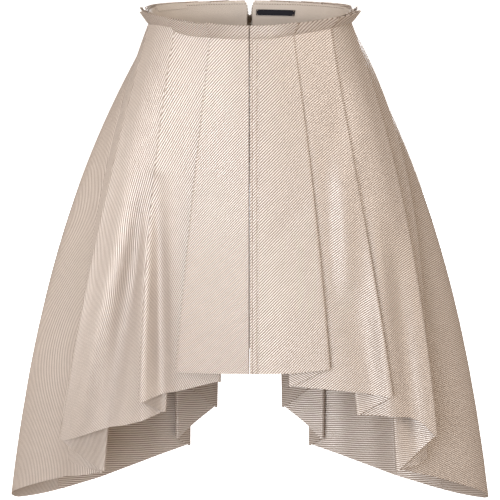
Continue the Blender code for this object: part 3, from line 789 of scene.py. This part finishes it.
def flat_place(tree):
    """The flat cut's two coordinates and both together."""
    cut = tree.nodes.new("ShaderNodeUVMap")
    cut.uv_map = "cut"
    split = tree.nodes.new("ShaderNodeSeparateXYZ")
    tree.links.new(cut.outputs["UV"], split.inputs["Vector"])
    return split.outputs["X"], split.outputs["Y"], cut.outputs["UV"]


def ramp(tree, factor, stops):
    """Colours, each with its place from 0 to 1, blended by a factor."""
    node = tree.nodes.new("ShaderNodeValToRGB")
    while len(node.color_ramp.elements) < len(stops):
        node.color_ramp.elements.new(0.5)
    for element, (place, colour) in zip(node.color_ramp.elements, stops):
        element.position = place
        element.color = (*colour, 1.0)
    tree.links.new(factor, node.inputs["Fac"])
    return node.outputs["Color"]


def remap(tree, value, low, high):
    inputs = {"Value": value, "To Min": low, "To Max": high}
    return added(tree, "ShaderNodeMapRange", inputs, "Result")


def toned(tree, colour, factor, low, high):
    """A colour made darker or lighter by a factor from 0 to 1."""
    inputs = {"Color": colour, "Value": remap(tree, factor, low, high)}
    return added(tree, "ShaderNodeHueSaturation", inputs, "Color")


def bump(tree, height, distance):
    inputs = {"Height": height, "Distance": distance, "Strength": 1.0}
    return added(tree, "ShaderNodeBump", inputs, "Normal")


def darker(colour, share):
    return tuple(part * share for part in colour)


# %% Ribbed satin
RIB_PITCH = 0.0028
RIB_HEIGHT = 0.00042
RIB_FULLNESS = 0.7
RIB_WANDER_SCALE = 9.0
YARN_PITCH = 0.0007
YARN_SHARE = 0.03
SLUB_SCALE = 60.0
SLUB_TONES = (0.94, 1.06)
# Colour in the grooves between ribs: the ridge colour darkened, as painted shade.
PAINTED_GROOVE_SHADE = (0.20, 0.115, 0.07)
RIDGE = (0.70, 0.615, 0.54)
RIDGE_START = 0.62
GROOVE_ROUGHNESS = 0.66
RIDGE_ROUGHNESS = 0.5
SATIN_METALLIC = 0.5


def ribbed_satin(name, groove_shade, ridge):
    material, tree, shader = new_material(name)
    along, across, cut = flat_place(tree)
    wander = calculate(tree, "MULTIPLY", noise(tree, cut, RIB_WANDER_SCALE), RIB_PITCH)
    rib = wave(tree, calculate(tree, "ADD", across, wander), RIB_PITCH)
    rounded = calculate(tree, "POWER", rib, RIB_FULLNESS)
    yarn = wave(tree, along, YARN_PITCH)
    height = calculate(tree, "MULTIPLY_ADD", yarn, YARN_SHARE, rounded)
    # Colour runs from painted shade in the grooves to the cloth's own colour on the ridges.
    colour = ramp(tree, rounded, ((0.0, groove_shade), (RIDGE_START, ridge), (1.0, ridge)))
    slub = noise(tree, cut, SLUB_SCALE, 3.0)
    feed(tree, shader, {
        "Base Color": toned(tree, colour, slub, *SLUB_TONES),
        "Roughness": remap(tree, rounded, GROOVE_ROUGHNESS, RIDGE_ROUGHNESS),
        "Metallic": SATIN_METALLIC, "Sheen Weight": 0.1, "Sheen Roughness": 0.4,
        "Coat Weight": 0.35, "Coat Roughness": 0.5, "Normal": bump(tree, height, RIB_HEIGHT)})
    return material


rib_satin = ribbed_satin("ribbed_satin", PAINTED_GROOVE_SHADE, RIDGE)

# %% [markdown]
# ## Plain satin, label, tape, thread and metal
#
# The smaller finishes have the same kind of build: a fine weave as bump and a little change of
# tone, each at its real scale. On the woven ones the colour is also darker where the yarns dip,
# as painted shade.

# %% Woven finishes
def woven(name, colour, roughness, pitch, depth, sheen=0.1):
    """A plain weave: crossing yarns as fine bump, and a slow change of tone."""
    material, tree, shader = new_material(name)
    along, across, cut = flat_place(tree)
    height = calculate(tree, "MULTIPLY", wave(tree, along, pitch), wave(tree, across, pitch))
    # Darker where the yarns dip: painted shade between the crossing yarns.
    shade = ramp(tree, height, ((0.0, darker(colour, 0.82)), (1.0, colour)))
    shade = toned(tree, shade, noise(tree, cut, 40.0, 3.0), 0.95, 1.05)
    feed(tree, shader, {"Base Color": shade, "Roughness": roughness, "Sheen Weight": sheen,
                        "Normal": bump(tree, height, depth)})
    return material


plain_satin = woven("plain_satin", (0.66, 0.565, 0.475), 0.5, 0.0006, 0.00006)
navy_weave = woven("navy_weave", (0.006, 0.006, 0.012), 0.9, 0.0005, 0.00008, sheen=0.0)
tape_weave = woven("tape_weave", (0.66, 0.56, 0.465), 0.7, 0.0012, 0.0002)


def sewing_thread(name, colour):
    material, tree, shader = new_material(name)
    place = tree.nodes.new("ShaderNodeTexCoord").outputs["Object"]
    speckle = noise(tree, place, 900.0)
    shade = ramp(tree, speckle, ((0.3, darker(colour, 0.8)), (0.7, colour)))
    feed(tree, shader, {"Base Color": shade, "Roughness": 0.5, "Sheen Weight": 0.2,
                        "Normal": bump(tree, speckle, 0.0001)})
    return material


thread = sewing_thread("beige_thread", (0.33, 0.245, 0.18))


def aged_metal(name, colour):
    material, tree, shader = new_material(name)
    place = tree.nodes.new("ShaderNodeTexCoord").outputs["Object"]
    wear = noise(tree, place, 420.0, 4.0)
    shade = ramp(tree, wear, ((0.35, darker(colour, 0.55)), (0.65, colour)))
    feed(tree, shader, {"Base Color": shade, "Roughness": remap(tree, wear, 0.24, 0.44),
                        "Metallic": 1.0, "Normal": bump(tree, wear, 0.00003)})
    return material


zip_metal = aged_metal("aged_brass", (0.36, 0.30, 0.23))

for piece in list(skirt.values()) + [lap]:
    piece.data.materials.append(rib_satin)
for piece in list(bands.values()) + [loop]:
    piece.data.materials.append(plain_satin)
label.data.materials.append(navy_weave)
for piece in tapes.values():
    piece.data.materials.append(tape_weave)
print("materials", len(bpy.data.materials))

# %% [markdown]
# ## Stitches on the lap, facing and label
#
# The lap is held by two rows of stitches. One row runs along the top of each back facing, and
# a few stitches hold each end of the label. The waist seam itself is hidden under the frill.

# %% Stitch rows
STITCH_PITCH = 3.2
STITCH_LENGTH = 2.5
THREAD_RADIUS = 0.5
THREAD_SUNK = 0.2
THREAD_PROUD = 0.1
LAP_STITCH_END = 2
LAP_LINE_STEPS = 80
FACING_STITCH_LEVEL = -13.5
FACING_STITCH_ANGLES = (FACING_SIDE_ANGLE + 2, FACING_BACK_ANGLE - 1)
LABEL_STITCH_LEVELS = (-6.2, -3.5, -0.8)
LABEL_STITCH_ANGLES = (151.8, 175.1)


def stitch_shape(shape):
    bmesh.ops.create_uvsphere(shape, u_segments=6, v_segments=5, radius=1.0)
    half = STITCH_LENGTH / 2
    bmesh.ops.scale(shape, vec=Vector((THREAD_RADIUS, THREAD_RADIUS, half)) * MM,
                    verts=shape.verts)


stitch = plain_mesh("stitch_shape", stitch_shape)
stitch_run = (stitch, STITCH_PITCH, *repeat_tree("stitch_run", thread))
lap_face = CLOTH / 2 + LIE_GAP + LAP_THICKNESS - THREAD_SUNK
line_levels = np.linspace(hem_level - LAP_STITCH_END, LAP_STITCH_END, LAP_LINE_STEPS)
lap_lines = [[lap_place(out, level, lap_face) for level in line_levels] for out in LAP_STITCHES]
lap_stitches = repeated("lap_stitches", lap_lines, *stitch_run)
facing_face = BACK_FACING_INSET + CLOTH / 2 + THREAD_PROUD
facing_lines = [band_grid(FACING_STITCH_ANGLES, FACING_BACK_COLUMNS, [FACING_STITCH_LEVEL],
                          facing_face, side)[0] for side, _ in SIDES]
facing_stitches = repeated("facing_stitches", facing_lines, *stitch_run)
label_face = inset + LABEL_THICKNESS / 2 + THREAD_PROUD
label_ends = [band_grid((angle, angle), 1, LABEL_STITCH_LEVELS, label_face)[:, 0]
              for angle in LABEL_STITCH_ANGLES]
label_stitches = repeated("label_stitches", label_ends, *stitch_run)

# %% [markdown]
# ## The zip
#
# Two rows of small teeth close the back from the slider down. Above the slider the rows part
# with the two tapes. The slider is two plates on a neck with a lug, and the pull hangs from
# the lug on its own bar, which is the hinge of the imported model.

# %% Teeth
TOOTH_PITCH = 1.7
TOOTH_OUT = 0.72
TOOTH_WIDTH = 1.9
TOOTH_HEIGHT = 0.8
TOOTH_OVER_EDGE = 0.3
METAL_EDGE = 0.2
OPEN_LEVELS = np.linspace(-0.6, TAPE_TOP + 1, 8)


def tooth_shape(shape):
    bmesh.ops.create_cube(shape, size=1.0)
    bmesh.ops.scale(shape, vec=Vector((TOOTH_WIDTH, CHAIN_THICKNESS, TOOTH_HEIGHT)) * MM,
                    verts=shape.verts)
    bmesh.ops.bevel(shape, geom=shape.edges[:], offset=METAL_EDGE * MM, segments=1,
                    affect="EDGES")


tooth = plain_mesh("tooth_shape", tooth_shape)
tooth_run = (tooth, TOOTH_PITCH, *repeat_tree("tooth_run", zip_metal))
closed_rows, open_rows = [], []
for side, _ in SIDES:
    low = ZIP_LENGTH - (TOOTH_PITCH / 2 if side > 0 else 0.0)
    levels = np.linspace(low, CHAIN_TOP + TOOTH_HEIGHT / 2, TAPE_ROWS)
    closed_rows.append([(side * TOOTH_OUT, zip_depth(level), -level) for level in levels])
    row = []
    for level in OPEN_LEVELS:
        out = TAPE_EDGE + float(back_edge_gap(level)) - ZIP_HALF_GAP - TOOTH_OVER_EDGE
        row.append((side * out, zip_depth(level, out), -level))
    open_rows.append(row)
teeth = repeated("zip_teeth", closed_rows, *tooth_run)
open_teeth = repeated("zip_teeth_open", open_rows, *tooth_run)

# %% Slider and pull
SLIDER_LEVEL = 5.0
SLIDER_HALF_LENGTH = 4.5
SLIDER_PLATE = 1.1
LUG_DOWN = 0.8
LUG_HOLE = 1.7
LUG_HOLE_LIFT = 0.3
PULL_LENGTH = 22.0
PULL_HALF_WIDTH = 2.4
PULL_BAR = 0.5
SLOT_HALF_WIDTH = 1.3
SLOT_END = 3.5
SHIELD = ((-2.9, -3.7), (-2.3, -4.5), (-0.5, -4.2), (0.5, -4.2), (2.3, -4.5), (2.9, -3.7),
          (2.7, 0.6), (1.9, 4.1), (1.4, 4.5), (-1.4, 4.5), (-1.9, 4.1), (-2.7, 0.6))
SHIELD_NARROWER = 0.88
NECK = ((-0.7, -3.9), (0.7, -3.9), (0.7, -2.8), (-0.7, -2.8))
LUG_HALF_WIDTH = 0.7
LUG_OUTER = (1.65, 1.25)
LUG_INNER = (0.85, 0.85)
JOIN_DEPTH = 0.1
PULL_HALF_THICKNESS = 0.5
PULL_TIP = ((PULL_HALF_WIDTH, 19.8), (1.9, 21.4), (0.9, PULL_LENGTH))


def prism(shape, outline, low, high, place):
    """A solid between two faces of one outline; place turns (a, b, depth) into a position."""
    rings = [[shape.verts.new(place(a, b, depth)) for a, b in outline] for depth in (low, high)]
    count = len(outline)
    shape.faces.new(rings[0][::-1])
    shape.faces.new(rings[1])
    for i in range(count):
        j = (i + 1) % count
        shape.faces.new((rings[0][i], rings[0][j], rings[1][j], rings[1][i]))


def combined(name, builds, operation):
    """One closed body: the first shape, joined with the others or cut by them."""
    pieces = [plain_mesh(f"{name}_{number}", build) for number, build in enumerate(builds)]
    body, tools = pieces[0], pieces[1:]
    for tool in tools:
        change = body.modifiers.new("Combine", "BOOLEAN")
        change.operation = operation
        change.solver = "EXACT"
        change.object = tool
    plain(body)
    for tool in tools:
        bpy.data.objects.remove(tool)
    body.name = name
    return body


def soften(piece, width):
    """Round the edges of a metal piece a little."""
    change = piece.modifiers.new("Edges", "BEVEL")
    change.width = width * MM
    change.segments = 2
    change.limit_method = "ANGLE"
    piece.data.shade_smooth()


def slider_frame():
    """The slider's own frame: across, down the zip and out of the back."""
    ends = [Vector((0.0, zip_depth(level), -level)) for level in
            (SLIDER_LEVEL - SLIDER_HALF_LENGTH, SLIDER_LEVEL + SLIDER_HALF_LENGTH)]
    down = (ends[1] - ends[0]).normalized()
    out = Vector((0.0, -down.z, down.y))
    turn = Matrix(((1.0, 0.0, 0.0), (0.0, down.y, out.y), (0.0, down.z, out.z))).to_4x4()
    return Matrix.Translation((ends[0] + ends[1]) / 2 * MM) @ turn @ Matrix.Scale(MM, 4)


plate_in = CHAIN_THICKNESS / 2 + LIE_GAP
plate_out = plate_in + SLIDER_PLATE
lug_middle = plate_out + LUG_HOLE_LIFT + LUG_HOLE / 2


def flat_on(a, b, depth):
    return Vector((a, b, depth))


def sideways(a, b, depth):
    return Vector((depth, a, b))


def slider_part(outline, low, high, place=flat_on):
    """A build function for one part of the slider, in the slider's own frame."""
    def build(shape):
        prism(shape, outline, low, high, place)
        bmesh.ops.transform(shape, matrix=slider_frame(), verts=shape.verts)
    return build


def lug_arch():
    """Outline of the lug: an outer arc, and an inner one that leaves the pull's hole."""
    foot = plate_out - JOIN_DEPTH
    turns = np.linspace(0, pi, 9)
    arch = []
    for (radius, tall), way in ((LUG_OUTER, 1), (LUG_INNER, -1)):
        arch.append((LUG_DOWN - way * radius, foot))
        arch += [(LUG_DOWN - radius * cos(t), lug_middle + tall * sin(t)) for t in turns[::way]]
        arch.append((LUG_DOWN + way * radius, foot))
    return arch


def pull_part(outline, half):
    """A build function for the pull or its slot, hung on the hinge line."""
    hinge = Matrix.Translation((0.0, LUG_DOWN, lug_middle))

    def build(shape):
        prism(shape, outline, -half, half, flat_on)
        bmesh.ops.transform(shape, matrix=slider_frame() @ hinge, verts=shape.verts)
    return build


def mirrored(points):
    """An outline from its right half, which runs from the bottom to the top."""
    return list(points) + [(-a, b) for a, b in reversed(points)]


slider = combined("zip_slider_metal", [
    slider_part(SHIELD, plate_in, plate_out),
    slider_part([(a * SHIELD_NARROWER, b) for a, b in SHIELD], -plate_out, -plate_in),
    slider_part(NECK, JOIN_DEPTH - plate_out, plate_out - JOIN_DEPTH),
    slider_part(lug_arch(), -LUG_HALF_WIDTH, LUG_HALF_WIDTH, sideways)], "UNION")
pull = combined("zip_pull_metal", [
    pull_part(mirrored(((PULL_HALF_WIDTH, -PULL_BAR),) + PULL_TIP), PULL_HALF_THICKNESS),
    pull_part(mirrored(((SLOT_HALF_WIDTH, PULL_BAR), (SLOT_HALF_WIDTH, SLOT_END))),
              4 * PULL_HALF_THICKNESS)], "DIFFERENCE")
for piece in (slider, pull):
    piece.data.materials.clear()
    piece.data.materials.append(zip_metal)
    soften(piece, METAL_EDGE)
for guide in (stitch, tooth):
    bpy.data.objects.remove(guide)
print("slider and pull", [len(piece.data.polygons) for piece in (slider, pull)], "faces")

# %% [markdown]
# ## Joining the pieces to the frame
#
# Each piece rides on the body that carries it, and the imported solid that it stands for is
# hidden.

# %% Ride and replace
def dress(piece, node, body="root"):
    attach(piece, body)
    if node:
        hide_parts(node)


for node, piece in skirt.items():
    dress(piece, node)
for node, piece in bands.items():
    dress(piece, node)
dress(lap, "front_lap")
dress(loop, "hanger_loop")
dress(label, "label")
for node, piece in tapes.items():
    dress(piece, node)
dress(teeth, "zip_chain")
dress(open_teeth, None)
dress(slider, "zip_slider")
dress(pull, "zip_pull", "zip_pull")
for piece, slot in ((lap_stitches, "champagne_rib"), (facing_stitches, "champagne_facing"),
                    (label_stitches, "navy_label")):
    dress(piece, None)

# %% [markdown]
# ## Floor, light and camera
#
# The photograph is a soft studio picture on white. A wide light stands in front, a little to
# the left and a little higher than the waist. Weaker ones stand at both sides and above, and
# warm surroundings fill the rest. One more stands behind, so that the back can be judged too.

# %% Studio
MIDDLE = Vector((0.0, 0.0, -0.28))
COOL, WHITE, WARM = (0.93, 1.0, 1.1), (1.0, 1.0, 1.0), (1.0, 0.94, 0.87)
# columns: name, place, size, power, colour
LIGHTS = (
    ("key", (-0.7, -3.4, 0.15), (1.4, 1.5), 107.0, COOL),
    ("left", (-3.0, 0.0, 0.3), (1.6, 2.0), 27.0, WHITE),
    ("right", (2.6, -1.6, 0.3), (1.6, 2.0), 24.0, WARM),
    ("top", (0.7, -1.3, 2.4), (1.0, 1.0), 22.0, WHITE),
    ("back", (0.6, 3.3, 0.1), (1.6, 1.6), 62.0, COOL),
)
for name, place, size, power, colour in LIGHTS:
    data = bpy.data.lights.new(name, "AREA")
    data.shape = "RECTANGLE"
    data.size, data.size_y = size
    data.energy = power
    data.color = colour
    lamp = new_object(name, data)
    lamp.location = place
    lamp.rotation_euler = (MIDDLE - Vector(place)).to_track_quat("-Z", "Y").to_euler()
print("lights", len(LIGHTS))

world = bpy.data.worlds.new("studio")
bpy.context.scene.world = world
world.use_nodes = True
surround = world.node_tree.nodes["Background"].inputs
surround["Color"].default_value = (1.0, 0.80, 0.63, 1.0)
surround["Strength"].default_value = 0.36
bpy.context.scene.view_settings.view_transform = "Standard"


def glowing(name, colour, glow):
    """A pale stage material that also gives off light of its own."""
    material, tree, shader = new_material(name)
    feed(tree, shader, {"Base Color": (*colour, 1.0), "Roughness": 0.9,
                        "Emission Color": (*colour, 1.0), "Emission Strength": glow})
    return material


def seen_only(stage_piece):
    """Let the camera see a stage piece, and keep its glow off the skirt."""
    stage_piece.visible_diffuse = False
    stage_piece.visible_glossy = False
    stage_piece.visible_shadow = False


FLOOR_LEVEL = -0.72
FLOOR_GLOW = 1.2
BACKDROP_GLOW = 1.0
STAGE_REACH = 40.0
floor_mesh = bpy.data.meshes.new("floor")
corners = [(x * STAGE_REACH, y * STAGE_REACH, FLOOR_LEVEL)
           for x, y in ((-1, -1), (1, -1), (1, 1), (-1, 1))]
floor_mesh.from_pydata(corners, [], [(0, 1, 2, 3)])
floor = new_object("floor", floor_mesh)
floor_mesh.materials.append(glowing("pale_floor", (0.9, 0.9, 0.9), FLOOR_GLOW))


def dome_shape(shape):
    bmesh.ops.create_uvsphere(shape, u_segments=32, v_segments=16, radius=STAGE_REACH)


backdrop = plain_mesh("backdrop", dome_shape)
backdrop.data.materials.append(glowing("white_backdrop", WHITE, BACKDROP_GLOW))
for stage_piece in (floor, backdrop):
    seen_only(stage_piece)

# %% Camera
CAMERA_DISTANCE = 4.5
CAMERA_LIFT = radians(9.5)
CAMERA_AIM = Vector((0.0, 0.0, -0.279))
PICTURE_WIDTH = 0.61
PICTURE_PIXELS = 500
SHIFT_PIXELS = 0.3
camera_data = bpy.data.cameras.new("camera")
camera = new_object("camera", camera_data)
camera.location = CAMERA_AIM + CAMERA_DISTANCE * Vector((0.0, -cos(CAMERA_LIFT),
                                                         sin(CAMERA_LIFT)))
camera.rotation_euler = (pi / 2 - CAMERA_LIFT, 0.0, 0.0)
camera_data.sensor_width = 36.0
camera_data.lens = camera_data.sensor_width * CAMERA_DISTANCE / PICTURE_WIDTH
camera_data.shift_x = SHIFT_PIXELS / PICTURE_PIXELS
camera_data.clip_end = 100.0
bpy.context.scene.camera = camera
